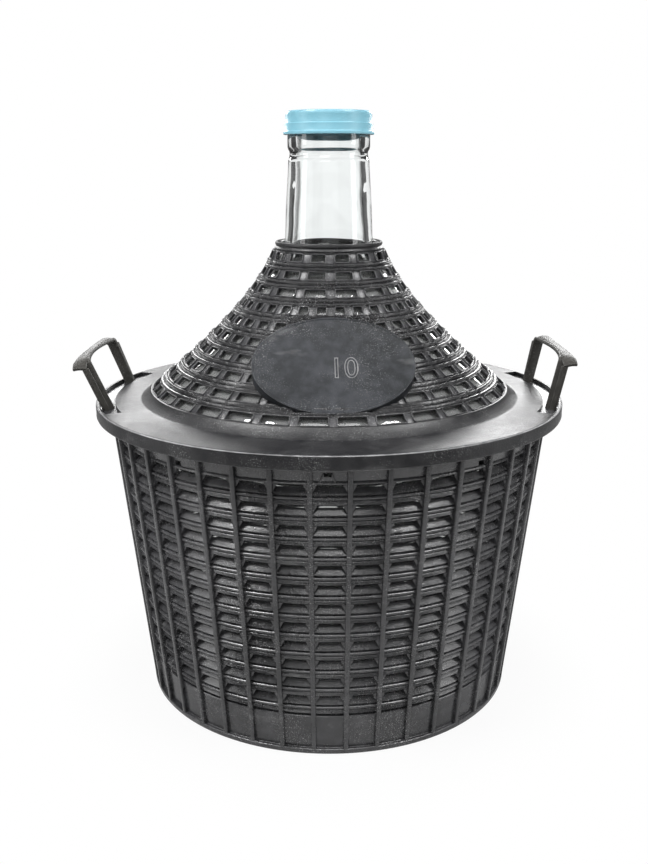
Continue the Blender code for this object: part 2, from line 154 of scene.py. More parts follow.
def copyRound(piece, count):
    startEdit(piece)
    bpy.ops.mesh.spin(steps=count - 1, dupli=True, angle=math.tau * (count - 1) / count,
                      center=(0, 0, 0), axis=(0, 0, 1))
    bpy.ops.object.mode_set(mode="OBJECT")


def joinPieces(name, pieces):
    clearSelection()
    for piece in pieces:
        piece.select_set(True)
    bpy.context.view_layer.objects.active = pieces[0]
    if len(pieces) > 1:
        bpy.ops.object.join()
    pieces[0].name = name
    pieces[0].data.name = name
    return pieces[0]


def applyModifier(piece, kind, **settings):
    makeActive(piece)
    modifier = piece.modifiers.new("change", kind)
    for name, value in settings.items():
        setattr(modifier, name, value)
    bpy.ops.object.modifier_apply(modifier=modifier.name)


def roundEdges(piece, width, segments=2, limit=35):
    applyModifier(piece, "BEVEL", width=width, segments=segments, limit_method="ANGLE",
                  angle_limit=math.radians(limit))


def cutAway(piece, tool):
    applyModifier(piece, "BOOLEAN", operation="DIFFERENCE", solver="EXACT", object=tool)
    bpy.data.objects.remove(tool, do_unlink=True)


def fitCurve(points, steps):
    # a smooth line through the points
    found = []
    for i in range(len(points) - 1):
        before, start = Vector(points[max(i - 1, 0)]), Vector(points[i])
        end, after = Vector(points[i + 1]), Vector(points[min(i + 2, len(points) - 1)])
        for k in range(steps):
            t = k / steps
            found.append(tuple(0.5 * (2 * start + (end - before) * t
                                      + (2 * before - 5 * start + 4 * end - after) * t * t
                                      + (3 * start - before - 3 * end + after) * t ** 3)))
    return found + [tuple(points[-1])]


def readTable(table, place):
    # a row of values between the table's rows, each of which starts with its place
    for low, high in zip(table, table[1:]):
        if place <= high[0]:
            share = max(0.0, (place - low[0]) / (high[0] - low[0]))
            share = share * share * (3 - 2 * share)
            return [a + (b - a) * share for a, b in zip(low[1:], high[1:])]
    return list(table[-1][1:])


# Materials

moulded = {
    "patterns": {              # scale, detail and stretch
        "flow": (14, 5, (1, 1, 0.5)),
        "blotch": (150, 4, (1, 1, 1)),
        "grain": (900, 3, (1, 1, 1)),
        "scratch": (70, 6, (0.35, 1, 1)),
        "dustGlintSpeck": (1900, 1, (1, 1, 1)),
        "patch": (45, 3, (1, 1, 1)),
    },
    "marks": (0.62, 0.72),     # where scratches and the light specks begin and are full; the specks are partly dust and partly painted glints
    "patches": (0.42, 0.62),   # the same for the patches that hold the specks
    "markColour": (0.42, 0.42, 0.42, 1),
    "wornFlow": (0.35, 0.70),
    "wornBlotch": (0.40, 0.70),
    "wornShare": (0.0, 0.5),
    "roughSpan": (0.3, 0.7),
    "roughFlow": (-0.06, 0.09),
    "roughBlotch": (-0.02, 0.04),
    "flowHeight": (0.0, 3.0),  # against the grain's
    "bump": 0.00025,
}


def addNode(tree, kind, **settings):
    node = tree.nodes.new("ShaderNode" + kind)
    for name, value in settings.items():
        setattr(node, name, value)
    return node


def feed(tree, value, socket):
    # an output is linked, a plain value is set
    if isinstance(value, bpy.types.NodeSocket):
        tree.links.new(value, socket)
    else:
        socket.default_value = value


def calculate(tree, operation, first, second=0.0):
    node = addNode(tree, "Math", operation=operation)
    feed(tree, first, node.inputs[0])
    feed(tree, second, node.inputs[1])
    return node.outputs["Value"]


def rangeOf(tree, value, span, result=(0.0, 1.0), kind="LINEAR"):
    node = addNode(tree, "MapRange", interpolation_type=kind)
    feed(tree, value, node.inputs["Value"])
    for name, number in zip(("From Min", "From Max", "To Min", "To Max"), (*span, *result)):
        feed(tree, number, node.inputs[name])
    return node.outputs["Result"]


def blend(tree, share, first, second):
    node = addNode(tree, "Mix", data_type="RGBA")
    for place, value in ((0, share), (6, first), (7, second)):
        feed(tree, value, node.inputs[place])
    return node.outputs[2]


def pattern(tree, place, scale, detail, stretch):
    shift, cloud = addNode(tree, "Mapping"), addNode(tree, "TexNoise")
    feed(tree, place.outputs["Object"], shift.inputs["Vector"])
    feed(tree, stretch, shift.inputs["Scale"])
    feed(tree, shift.outputs["Vector"], cloud.inputs["Vector"])
    feed(tree, scale, cloud.inputs["Scale"])
    feed(tree, detail, cloud.inputs["Detail"])
    return cloud.outputs["Fac"]


def makeMoulding():
    # flow marks, fine grain, small scratches, and light specks of moulded plastic that are partly dust and
    # partly painted glints
    group = bpy.data.node_groups.new("moulding", "ShaderNodeTree")
    for way, name, kind in (("INPUT", "Colour", "Color"), ("INPUT", "Worn Colour", "Color"),
                            ("INPUT", "Gloss", "Float"), ("INPUT", "Grain", "Float"),
                            ("INPUT", "Scratches", "Float"), ("INPUT", "Dust And Glint Specks", "Float"),
                            ("OUTPUT", "Colour", "Color"), ("OUTPUT", "Roughness", "Float"),
                            ("OUTPUT", "Normal", "Vector")):
        group.interface.new_socket(name=name, in_out=way, socket_type="NodeSocket" + kind)
    start, end = group.nodes.new("NodeGroupInput").outputs, group.nodes.new("NodeGroupOutput").inputs
    place = addNode(group, "TexCoord")
    fields = {name: pattern(group, place, *values) for name, values in moulded["patterns"].items()}

    def ramp(name, span, result=(0.0, 1.0)):
        return rangeOf(group, fields[name], span, result)

    def times(first, second):
        return calculate(group, "MULTIPLY", first, second)

    def plus(first, second):
        return calculate(group, "ADD", first, second)

    scratches = times(ramp("scratch", moulded["marks"]), start["Scratches"])
    # light specks, partly dust and partly painted glints
    dustAndGlints = times(ramp("dustGlintSpeck", moulded["marks"]), ramp("patch", moulded["patches"]))
    marks = plus(scratches, times(dustAndGlints, start["Dust And Glint Specks"]))
    worn = plus(ramp("flow", moulded["wornFlow"], moulded["wornShare"]),
                ramp("blotch", moulded["wornBlotch"], moulded["wornShare"]))
    plain = blend(group, worn, start["Colour"], start["Worn Colour"])
    feed(group, blend(group, marks, plain, moulded["markColour"]), end["Colour"])
    uneven = plus(ramp("flow", moulded["roughSpan"], moulded["roughFlow"]),
                  ramp("blotch", moulded["roughSpan"], moulded["roughBlotch"]))
    feed(group, plus(start["Gloss"], uneven), end["Roughness"])
    bump = addNode(group, "Bump")
    feed(group, moulded["bump"], bump.inputs["Distance"])
    feed(group, start["Grain"], bump.inputs["Strength"])
    feed(group, plus(fields["grain"], ramp("flow", (0.0, 1.0), moulded["flowHeight"])), bump.inputs["Height"])
    feed(group, bump.outputs["Normal"], end["Normal"])
    return group


moulding = makeMoulding()


def newMaterial(name):
    material = bpy.data.materials.new(name)
    material.use_nodes = True
    return material, material.node_tree.nodes["Principled BSDF"]


def plasticFinish(name, colour, worn, gloss, grain, scratches, dustAndGlintSpecks, shine=0.5):
    material, shader = newMaterial(name)
    tree = material.node_tree
    skin = addNode(tree, "Group", node_tree=moulding)
    values = {"Colour": (*colour, 1), "Worn Colour": (*worn, 1), "Gloss": gloss, "Grain": grain,
              "Scratches": scratches, "Dust And Glint Specks": dustAndGlintSpecks}
    for socket, value in values.items():
        feed(tree, value, skin.inputs[socket])
    for output, socket in (("Colour", "Base Color"), ("Roughness", "Roughness"), ("Normal", "Normal")):
        feed(tree, skin.outputs[output], shader.inputs[socket])
    feed(tree, shine, shader.inputs["Specular IOR Level"])
    return material


def glassFinish(name, tint, clear=1.0, bend=1.5):
    material, shader = newMaterial(name)
    values = {"Base Color": (*tint, 1), "Roughness": 0.0, "IOR": bend, "Transmission Weight": clear}
    for socket, value in values.items():
        feed(material.node_tree, value, shader.inputs[socket])
    return material


basketPlastic = plasticFinish("basketPlastic", (0.015, 0.015, 0.016), (0.042, 0.042, 0.045),
                              gloss=0.20, grain=0.5, scratches=0.12, dustAndGlintSpecks=0.60, shine=0.65)
handlePlastic = plasticFinish("handlePlastic", (0.018, 0.017, 0.015), (0.046, 0.044, 0.040),
                              gloss=0.50, grain=0.15, scratches=0.10, dustAndGlintSpecks=0.30, shine=0.25)
conePlastic = plasticFinish("conePlastic", (0.010, 0.010, 0.011), (0.034, 0.034, 0.036),
                            gloss=0.20, grain=0.4, scratches=0.20, dustAndGlintSpecks=0.90, shine=1.0)
barPlastic = plasticFinish("barPlastic", (0.014, 0.014, 0.015), (0.044, 0.044, 0.047),
                           gloss=0.30, grain=0.4, scratches=0.20, dustAndGlintSpecks=0.90, shine=0.35)
flangePlastic = plasticFinish("flangePlastic", (0.003, 0.003, 0.004), (0.018, 0.018, 0.019),
                              gloss=0.36, grain=0.7, scratches=0.08, dustAndGlintSpecks=0.50, shine=0.33)
platePlastic = plasticFinish("platePlastic", (0.002, 0.003, 0.004), (0.027, 0.029, 0.034),
                             gloss=0.50, grain=0.8, scratches=0.10, dustAndGlintSpecks=0.35, shine=0.24)
# a light colour painted on as the highlight along rounded edges
paintedEdgeHighlight = plasticFinish("paintedEdgeHighlight", (0.030, 0.030, 0.032), (0.240, 0.240, 0.245),
                         gloss=0.40, grain=0.6, scratches=0.60, dustAndGlintSpecks=0.60)
capPlastic = plasticFinish("capPlastic", (0.122, 0.284, 0.350), (0.140, 0.308, 0.374),
                           gloss=0.33, grain=0.15, scratches=0.03, dustAndGlintSpecks=0.05, shine=0.45)
bottleGlass = glassFinish("bottleGlass", (0.970, 0.986, 0.984))
dustyGlass = glassFinish("dustyGlass", (0.880, 0.892, 0.886), clear=0.87)
print("materials are ready")


def finishPiece(piece, material, shade, body="jar", replaced=None, isOther=None, other=paintedEdgeHighlight):
    # the faces that isOther picks get the other material
    piece.data.materials.clear()
    piece.data.materials.append(material)
    if isOther:
        piece.data.materials.append(other)
        for face in piece.data.polygons:
            face.material_index = int(isOther(face.center))
    makeActive(piece)
    bpy.ops.object.shade_smooth_by_angle(angle=math.radians(shade))
    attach(piece, body)
    if replaced:
        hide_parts(replaced)


# Basket

basket = {
    "footRadius": 0.1246,      # outer face of the ribs at the floor
    "lean": 0.108,             # outwards per unit of height
    "wall": 0.0032,
    "ringInner": 0.1146,
    "floorTop": 0.0050,
    "floorBottom": 0.0030,
    "floorHole": 0.0150,
    "ledge": 0.0038,           # top of the foot that the ribs stand on
    "bandTop": 0.0268,         # of the plain band, a slit below the lowest canes
    "ribs": 40,
    "ribWidth": 0.0031,
    "ribDepth": 0.0022,
    "ribSunk": 0.0022,
    "ribRound": 0.0008,
    "slotRows": 12,
    "slotPitch": 0.01255,
    "slotHeight": 0.0056,
    "lowestSlot": 0.0378,
    "cornerWidth": 0.0026,     # of the gusset in each slot's upper corners
    "cornerHeight": 0.0040,
    "cornerDepth": 0.0028,
    "rimRadius": 0.1522,
    "rimBottom": 0.1934,
    "rimTop": 0.1970,
    "rimRound": 0.0004,
    "windowSize": (0.0046, 0.0120, 0.0030),
    "windowHeight": 0.1826,
    "windowTurn": 38,
    "tabSize": (0.0044, 0.0120, 0.0026),
    "tabPlace": (-0.0012, 0.1848),
    "ridgeSize": (0.0007, 0.0016, 0.0066),
    "ridgePlace": (0.0034, -0.0020),
    "ridgeLean": 20,
    "steps": 200,
}


def ribFace(height):
    return basket["footRadius"] + basket["lean"] * height


def wallFace(height):
    return ribFace(height) - basket["ribDepth"]


def wallBack(height):
    return wallFace(height) - basket["wall"]


def slotMiddle(row):
    return basket["lowestSlot"] + row * basket["slotPitch"]


def basketBase():
    foot, ring, hole = basket["footRadius"], basket["ringInner"], basket["floorHole"]
    low, high, ledge, top = basket["floorBottom"], basket["floorTop"], basket["ledge"], basket["bandTop"]
    outline = [
        (ring, 0.0), (foot - 0.0014, 0.0), (foot - 0.0003, 0.0003), (foot + 0.00025, 0.0010),
        (ribFace(ledge), ledge - 0.0004), (ribFace(ledge) - 0.0004, ledge),
        (wallFace(ledge) + 0.0002, ledge), (wallFace(ledge), ledge + 0.0002),
        (wallFace(top), top - 0.0007), (wallFace(top) - 0.0003, top - 0.0002),
        (wallFace(top) - 0.0009, top), (wallFace(top) - 0.0018, top),
        (wallFace(top) - 0.0018, top + 0.0020), (wallBack(top), top + 0.0020),
        (wallBack(high + 0.0006), high + 0.0006), (wallBack(high) - 0.0006, high),
        (hole, high), (hole, low), (ring, low),
    ]
    return turnedPiece("basketBase", outline, basket["steps"])


def basketBand():
    bottom = slotMiddle(basket["slotRows"] - 1) + basket["slotHeight"] / 2
    low, top, rim, corner = basket["rimBottom"], basket["rimTop"], basket["rimRadius"], basket["rimRound"]
    face = wallFace(bottom)
    outline = [
        (wallBack(bottom), bottom), (face - 0.0010, bottom), (face + 0.0002, bottom + 0.0004),
        (face + 0.0005, bottom + 0.0010), (face + 0.0002, bottom + 0.0017), (face - 0.0003, bottom + 0.0022),
        (face + 0.0001, bottom + 0.0027), (wallFace(low) - 0.0001, low), (rim - corner, low),
        (rim, low + corner), (rim, top - corner), (rim - corner, top),
        (wallBack(top) + corner, top), (wallBack(top), top - corner),
    ]
    band = turnedPiece("basketBand", outline, basket["steps"])
    height = basket["windowHeight"]
    radius = wallFace(height)
    for turn in (basket["windowTurn"], -basket["windowTurn"]):
        for side in (0, 180):
            angle = math.radians(side + turn)
            place = (radius * math.sin(angle), -radius * math.cos(angle), height)
            cutAway(band, addBlock("cutter", basket["windowSize"], place, (0, 0, angle)))
    x, height = basket["tabPlace"]
    cutAway(band, addBlock("cutter", basket["tabSize"], (x, -wallFace(height), height)))
    return band


def basketTab():
    # two slanted ridges beside the latch opening at the front
    x, height = basket["tabPlace"]
    aside, up = basket["ridgePlace"]
    ridges = []
    for side in (-1, 1):
        place = (x + side * aside, -wallFace(height) + 0.0002, height + up)
        turn = (0, -side * math.radians(basket["ridgeLean"]), 0)
        ridges.append(addBlock("ridge", basket["ridgeSize"], place, turn))
    tab = joinPieces("basketTab", ridges)
    roundEdges(tab, 0.0002)
    return tab


def basketCanes():
    # two rounded canes between each two rows of slots
    half = (basket["slotPitch"] - basket["slotHeight"]) / 2
    section = [                # out from the wall's face and up from the middle
        (-0.0032, -half - 0.0010), (-0.0010, -half), (-0.0002, -half + 0.0002), (0.0001, -half + 0.0007),
        (-0.0002, -half + 0.0011), (0.0001, -half + 0.0015), (-0.0002, -half + 0.0019),
        (0.0001, -half + 0.0024), (-0.0004, -half + 0.0029), (-0.0002, -0.0002), (0.0005, 0.0004),
        (0.0007, 0.0010), (0.0005, 0.0015), (-0.0003, 0.0019), (-0.0012, 0.0022), (-0.0012, 0.0027),
        (-0.0004, 0.0030), (-0.0001, 0.0033), (-0.0004, half + 0.0002), (-0.0032, half + 0.0033),
    ]
    canes = []
    for row in range(basket["slotRows"]):
        middle = slotMiddle(row) - basket["slotPitch"] / 2
        outline = [(wallFace(middle + up) + out, middle + up) for out, up in section]
        canes.append(turnedPiece("cane", outline, basket["steps"]))
    return joinPieces("basketCanes", canes)


def basketRibs():
    low, high = basket["ledge"] - 0.0008, basket["rimBottom"] + 0.0010
    depth = basket["ribDepth"] + basket["ribSunk"]
    rib = addBlock("rib", (basket["ribWidth"], depth, high - low),
                   (0, -ribFace(low) + depth / 2, (high + low) / 2))
    bpy.ops.object.mode_set(mode="EDIT")
    pickFaces(rib, lambda face: face.normal.z > 0.9)
    bpy.ops.transform.translate(value=(0, -basket["lean"] * (high - low), 0))
    bpy.ops.object.mode_set(mode="OBJECT")
    roundEdges(rib, basket["ribRound"], 3, 30)
    turnPiece(rib, 180 / basket["ribs"])
    copyRound(rib, basket["ribs"])
    return joinPieces("basketRibs", [rib])


def basketGussets():
    pieces = []
    width, drop = basket["cornerWidth"], basket["cornerHeight"]
    for row in range(basket["slotRows"]):
        top = slotMiddle(row) + basket["slotHeight"] / 2 + 0.0002
        radius = wallFace(top) - 0.0004
        edge = radius * math.sin(math.pi / basket["ribs"]) - basket["ribWidth"] / 2 + 0.0004
        for side in (-1, 1):
            corners = [(edge, top), (edge - width, top), (edge - width, top - 0.0004),
                       (edge - 0.0006, top - drop), (edge, top - drop)]
            points = [(side * x, -radius, z) for x, z in corners]
            pieces.append(flatPiece("gusset", points, (0, basket["cornerDepth"], 0)))
    gussets = joinPieces("basketGussets", pieces)
    copyRound(gussets, basket["ribs"])
    return gussets


# Handles, drawn flat with X along the rim, Y up the handle and Z outwards, then bent round the rim

handles = {
    "halfOpening": 0.0385,
    "halfTop": 0.0375,
    "legWidth": 0.0025,
    "top": 0.0300,
    "depth": 0.0072,
    "grip": 0.0026,
    "corner": 0.0030,
    "innerCorner": 0.0012,
    "bendStep": 0.006,         # between the cuts that let the top bar bend
    "sideInner": 0.0448,
    "sideOuter": 0.0470,
    "sideDepth": 0.0042,
    "sideTop": 0.0262,
    "sideRib": (0.0010, 0.0016),
    "webs": ((0.0002, 0.0018), (0.0042, 0.0058), (0.0082, 0.0215)),    # each from one height to another
    "webDepth": 0.0016,
    "legRadius": 0.1519,
    "flangeTop": 0.1995,
    "foot": 0.1955,            # height at which the legs end, inside the flange
    "lean": {-1: 22.8, 1: 11.7},
    "gripShape": [             # along the rim: inner depth and height, outer depth and height
        (0.000, 0.0002, 0.0299, 0.0068, 0.0302),
        (0.015, 0.0002, 0.0299, 0.0069, 0.0307),
        (0.029, 0.0002, 0.0300, 0.0074, 0.0318),
        (0.036, 0.0005, 0.0299, 0.0084, 0.0323),
        (0.0415, 0.0022, 0.0286, 0.0107, 0.0318),
        (0.0473, 0.0043, 0.0264, 0.0123, 0.0302),
    ],
    "gripThickness": 0.0022,
    "gripCrown": 0.0007,
}


def bendHandle(piece, side):
    lean = math.radians(handles["lean"][side])
    radius, level = handles["legRadius"], handles["flangeTop"]
    for vert in piece.data.vertices:
        along, height, depth = vert.co
        inside = handles["depth"] - depth
        if height < 0:
            height = (handles["foot"] - level - inside * math.sin(lean)) / math.cos(lean)
        out = radius + height * math.sin(lean) - inside * math.cos(lean)
        angle = along / radius
        vert.co = (side * out * math.cos(angle), side * out * math.sin(angle),
                   level + height * math.cos(lean) + inside * math.sin(lean))


def cutAlong(piece, places):
    makeActive(piece)
    bpy.ops.object.mode_set(mode="EDIT")
    for place in places:
        bpy.ops.mesh.select_all(action="SELECT")
        bpy.ops.mesh.bisect(plane_co=(place, 0, 0), plane_no=(1, 0, 0))
    bpy.ops.object.mode_set(mode="OBJECT")


def handleFrame():
    half, top, depth, leg = handles["halfOpening"], handles["halfTop"], handles["depth"], handles["legWidth"]
    height, corner, cut = handles["top"], handles["corner"], handles["innerCorner"]
    under = height - handles["grip"]
    right = [(half + leg, -depth), (half + leg, 0.0)]
    for turn in (0, 22.5, 45, 67.5, 90):
        angle = math.radians(turn)
        right.append((top + leg - corner + corner * math.cos(angle),
                      height - corner + corner * math.sin(angle)))
    inner = [(top - cut, under), (top, under - cut), (half, 0.0), (half, -depth)]
    left = [(-x, y) for x, y in reversed(right)]
    points = right + left + [(-x, y) for x, y in reversed(inner)] + inner
    piece = flatPiece("handleFrame", [(x, y, 0) for x, y in points], (0, 0, depth))
    cutAlong(piece, [handles["bendStep"] * i for i in range(-6, 7)])
    roundEdges(piece, 0.0006, 2, 50)
    return piece


def handleGrip():
    clearSelection()
    bpy.ops.mesh.primitive_grid_add(x_subdivisions=32, y_subdivisions=5, size=1)
    piece = bpy.context.object
    piece.name = "handleGrip"
    end = handles["gripShape"][-1][0]
    for vert in piece.data.vertices:
        along, share = 2 * end * vert.co.x, vert.co.y + 0.5
        low, lowHeight, high, highHeight = readTable(handles["gripShape"], abs(along))
        crown = handles["gripCrown"] * (1 - (2 * share - 1) ** 2)
        vert.co = (along, lowHeight + (highHeight - lowHeight) * share + crown, low + (high - low) * share)
    applyModifier(piece, "SOLIDIFY", thickness=handles["gripThickness"],
                  offset=1 if piece.data.polygons[0].normal.y < 0 else -1)
    startEdit(piece)
    endEdit()
    roundEdges(piece, 0.0007, 3, 50)
    return piece


def handleSides():
    pieces = []
    depth, inner, outer = handles["depth"], handles["sideInner"], handles["sideOuter"]
    top, deep = handles["sideTop"], handles["sideDepth"]
    ribWidth, ribDeep = handles["sideRib"]
    leg, end = handles["halfOpening"] + 0.0012, inner + 0.0008
    for side in (-1, 1):
        plate = addBlock("plate", (outer - inner, top + depth, deep),
                         (side * (inner + outer) / 2, (top - depth) / 2, depth - deep / 2))
        roundEdges(plate, 0.0005)
        rib = addBlock("rib", (ribWidth, top + depth, ribDeep),
                       (side * (outer + 0.0002), (top - depth) / 2, depth - deep / 2))
        pieces += [plate, rib]
        for low, high in handles["webs"]:
            pieces.append(addBlock("web", (end - leg, high - low, handles["webDepth"]),
                                   (side * (end + leg) / 2, (low + high) / 2, depth - 0.0012)))
    return joinPieces("handleSides", pieces)


def makeHandle(name, side):
    pieces = [handleFrame(), handleGrip(), handleSides()]
    for piece in pieces:
        bendHandle(piece, side)
    return joinPieces(name, pieces)


basketWall = joinPieces("basketWall", [basketBase(), basketBand()])
finishPiece(basketWall, basketPlastic, shade=35, replaced="basket")
for made in (basketCanes(), basketRibs(), basketGussets(), basketTab()):
    finishPiece(made, basketPlastic, shade=50)
for name, side in (("leftHandle", -1), ("rightHandle", 1)):
    finishPiece(makeHandle(name, side), handlePlastic, shade=40)
print("basket is ready")


# Cover

cover = {
    "top": (0.0349, 0.3003),       # the cone's line: top, control point and foot
    "waist": (0.0455, 0.2620),
    "foot": (0.1256, 0.1995),
    "wall": 0.0022,
    "face": 0.0008,                # under the cone's line, where the canes' edges begin
    "rows": 10,
    "wideRows": 3,
    "bars": 32,
    "barWidth": 0.0050,
    "wideBarWidth": 0.0056,
    "barDepth": 0.0014,
    "barThickness": 0.0016,
    "turn": 0.97,                  # degrees that the bars lie round from the front
    "firstWindow": 0.0088,
    "pitch": 0.0116,
    "pitchGrowth": 0.0003,
    "windowShare": 0.47,
    "drawnIn": 0.00045,            # the canes at each bar
    "drawnWidth": 0.0016,
    "frameCorner": 0.0014,
    "frameOut": 0.0003,
    "frameWidth": 0.0006,
    "frameThickness": 0.0016,
    "flangeRadius": 0.1548,
    "flangeTop": 0.1995,
    "flangeBottom": 0.1973,
    "skirtInner": 0.1528,
    "skirtBottom": 0.1907,
    "slotOuter": 0.1525,
    "slotInner": 0.1423,
    "slotReach": 24.8,
    "steps": 320,
}


def measureCone():
    top, waist, foot = Vector(cover["top"]), Vector(cover["waist"]), Vector(cover["foot"])
    points, length, last = [], 0.0, top
    for i in range(201):
        t = i / 200
        point = (1 - t) ** 2 * top + 2 * t * (1 - t) * waist + t ** 2 * foot
        length += (point - last).length
        points.append((length, point))
        last = point
    return points


coneLine = measureCone()
coneLength = coneLine[-1][0]


def coneAt(distance, out=0.0):
    # the point at a distance down the cone's line, moved out of its surface
    i = 0
    while i < len(coneLine) - 2 and coneLine[i + 1][0] <= distance:
        i += 1
    (s0, p0), (s1, p1) = coneLine[i], coneLine[i + 1]
    point = p0.lerp(p1, (distance - s0) / (s1 - s0))
    along = (p1 - p0).normalized()
    return point + out * Vector((-along.y, along.x))


def windowRows():
    rows, middle = [], cover["firstWindow"]
    for row in range(cover["rows"]):
        pitch = cover["pitch"] + cover["pitchGrowth"] * row
        half = cover["windowShare"] * pitch / 2
        rows.append((middle - half, middle + half))
        middle += pitch
    return rows


def barsOf(row):
    # how many bars a row of windows has, and how wide they are
    if row < cover["wideRows"]:
        return cover["bars"] // 2, cover["wideBarWidth"]
    return cover["bars"], cover["barWidth"]


def coverCollar():
    high = windowRows()[0][0]
    low, lowBack = coneAt(high), coneAt(high, -cover["wall"])
    outline = [
        (0.0310, 0.2962), (0.0308, 0.2970), (0.0308, 0.2995), (0.0313, 0.3001), (0.0322, 0.3003),
        (0.0340, 0.3003), (0.0347, 0.3000), (0.03505, 0.2992), (0.0350, 0.2984), (0.0346, 0.2979),
        (0.0345, 0.2974), (0.0350, 0.2969), (0.03545, 0.2962), (0.0354, 0.2954), (0.0351, 0.2950),
        (0.03525, 0.2946), (low.x, low.y + 0.0003), (low.x - 0.0003, low.y - 0.0001), tuple(lowBack),
    ]
    return turnedPiece("collar", outline, cover["steps"] // 2)


def drawIn(cane, count):
    # pulls a ring of cane in at each of its row's bars
    pitch = math.tau / count
    for vert in cane.data.vertices:
        radius = math.hypot(vert.co.x, vert.co.y)
        angle = math.atan2(vert.co.y, vert.co.x) + math.pi / 2 - math.radians(cover["turn"])
        off = (angle / pitch - round(angle / pitch)) * pitch * radius
        drawn = cover["drawnIn"] * math.exp(-(off / cover["drawnWidth"]) ** 2)
        vert.co.x *= 1 - drawn / radius
        vert.co.y *= 1 - drawn / radius
        vert.co.z -= drawn


def coverCanes():
    # two rounded canes between each two rows of windows
    section = [                    # share of the way down, and out of the cone's line
        (0.02, -cover["wall"]), (0.0, -cover["face"]), (0.0, 0.0000), (0.05, 0.0002), (0.09, -0.0003),
        (0.15, 0.0005), (0.26, 0.0011), (0.37, 0.0006), (0.46, -0.0003), (0.5, -0.0009), (0.54, -0.0003),
        (0.63, 0.0006), (0.74, 0.0011), (0.85, 0.0005), (0.91, -0.0003), (0.95, 0.0002), (1.0, 0.0000),
        (1.0, -cover["face"]), (0.98, -cover["wall"]),
    ]
    rows, canes = windowRows(), []
    for row, (above, below) in enumerate(zip(rows, rows[1:])):
        start, width = above[1], below[0] - above[1]
        outline = [tuple(coneAt(start + width * share, out)) for share, out in section]
        cane = turnedPiece("cane", outline, cover["steps"])
        drawIn(cane, barsOf(row + 1)[0])
        canes.append(cane)
    return joinPieces("coverCanes", canes)


def coverBars():
    groups, turn = [], math.radians(cover["turn"])
    for row, (high, low) in enumerate(windowRows()):
        count, width = barsOf(row)
        high, low = high - 0.0008, low + 0.0008
        middle = coneAt((high + low) / 2, -cover["barDepth"])
        along = coneAt(low) - coneAt(high)
        tilt = math.atan2(along.x, -along.y)
        place = (middle.x * math.sin(turn), -middle.x * math.cos(turn), middle.y)
        bar = addBlock("bar", (width, cover["barThickness"], along.length), place, (-tilt, 0, turn))
        roundEdges(bar, 0.0003, 2, 30)
        copyRound(bar, count)
        groups.append(bar)
    return joinPieces("coverBars", groups)


def coverFrames():
    # the thin rounded edge round each window, drawn flat and laid on the cone
    groups = []
    corner, thickness = cover["frameCorner"], cover["frameThickness"]
    for row, (high, low) in enumerate(windowRows()):
        count, width = barsOf(row)
        middle, tall = (high + low) / 2, (low - high) / 2 + 0.0003
        radius = coneAt(middle).x
        half = radius * math.pi / count - width / 2 + 0.0003
        points = []
        for x, y, start in ((1, 1, 0), (-1, 1, 90), (-1, -1, 180), (1, -1, 270)):
            for turn in (0, 30, 60, 90):
                angle = math.radians(start + turn)
                points.append((x * (half - corner) + corner * math.cos(angle),
                               y * (tall - corner) + corner * math.sin(angle), 0))
        frame = drawLine("frame", points)
        bpy.ops.mesh.edge_face_add()
        bpy.ops.mesh.inset(thickness=cover["frameWidth"], depth=0)
        bpy.ops.mesh.delete(type="FACE")
        bpy.ops.object.mode_set(mode="OBJECT")
        applyModifier(frame, "SOLIDIFY", thickness=thickness, offset=0)
        roundEdges(frame, 0.00015, 1, 60)
        for vert in frame.data.vertices:
            place = coneAt(middle - vert.co.y, cover["frameOut"] - thickness / 2 + vert.co.z)
            angle = vert.co.x / radius + math.radians(cover["turn"]) + math.pi / count
            vert.co = (place.x * math.sin(angle), -place.x * math.cos(angle), place.y)
        copyRound(frame, count)
        groups.append(frame)
    return joinPieces("coverFrames", groups)


def handleSlot(middle):
    # the block that cuts a handle's slot through the flange
    reach = math.radians(cover["slotReach"])
    start = middle + reach
    inner, outer = cover["slotInner"], cover["slotOuter"]
    low, high = cover["skirtBottom"] - 0.0007, cover["flangeTop"] + 0.0055
    corners = [(inner, low), (outer, low), (outer, high), (inner, high)]
    cutter = drawLine("cutter", [(r * math.cos(start), r * math.sin(start), z) for r, z in corners])
    bpy.ops.mesh.edge_face_add()
    bpy.ops.mesh.spin(steps=32, angle=2 * reach, center=(0, 0, 0), axis=(0, 0, 1))
    endEdit()
    return cutter


def coverFlange():
    low = windowRows()[-1][1]
    radius, top, bottom = cover["flangeRadius"], cover["flangeTop"], cover["flangeBottom"]
    inner, edge = cover["skirtInner"], cover["skirtBottom"]
    foot = [(low, -cover["wall"]), (low, -cover["face"]), (low + 0.0003, 0.0), (low + 0.0012, 0.0005),
            (low + 0.0022, 0.0002), ((low + coneLength) / 2, 0.0), (coneLength - 0.0008, 0.0)]
    outline = [tuple(coneAt(distance, out)) for distance, out in foot] + [
        (0.1258, top + 0.00005), (0.1270, top), (0.1400, top), (radius - 0.0016, top),
        (radius - 0.0008, top - 0.0002), (radius - 0.0002, top - 0.0007), (radius, top - 0.0015),
        (radius - 0.0001, edge + 0.0016), (radius, edge + 0.0010), (radius - 0.0003, edge + 0.0003),
        (radius - 0.0009, edge), (inner + 0.0002, edge + 0.0001), (inner, edge + 0.0010),
        (inner, bottom - 0.0003), (inner - 0.0003, bottom), (0.1236, bottom),
    ]
    flange = turnedPiece("flange", outline, cover["steps"])
    for middle in (0, math.pi):
        cutAway(flange, handleSlot(middle))
    return flange


def isFlangeHighlightEdge(place):
    # the edge of the flange's top and that of the skirt's foot, which get a painted highlight
    inward = cover["flangeRadius"] - math.hypot(place.x, place.y)
    high, low = cover["flangeTop"] - 0.0010, cover["skirtBottom"] + 0.0005
    return 0.0002 < inward < 0.0008 and (place.z > high or place.z < low)


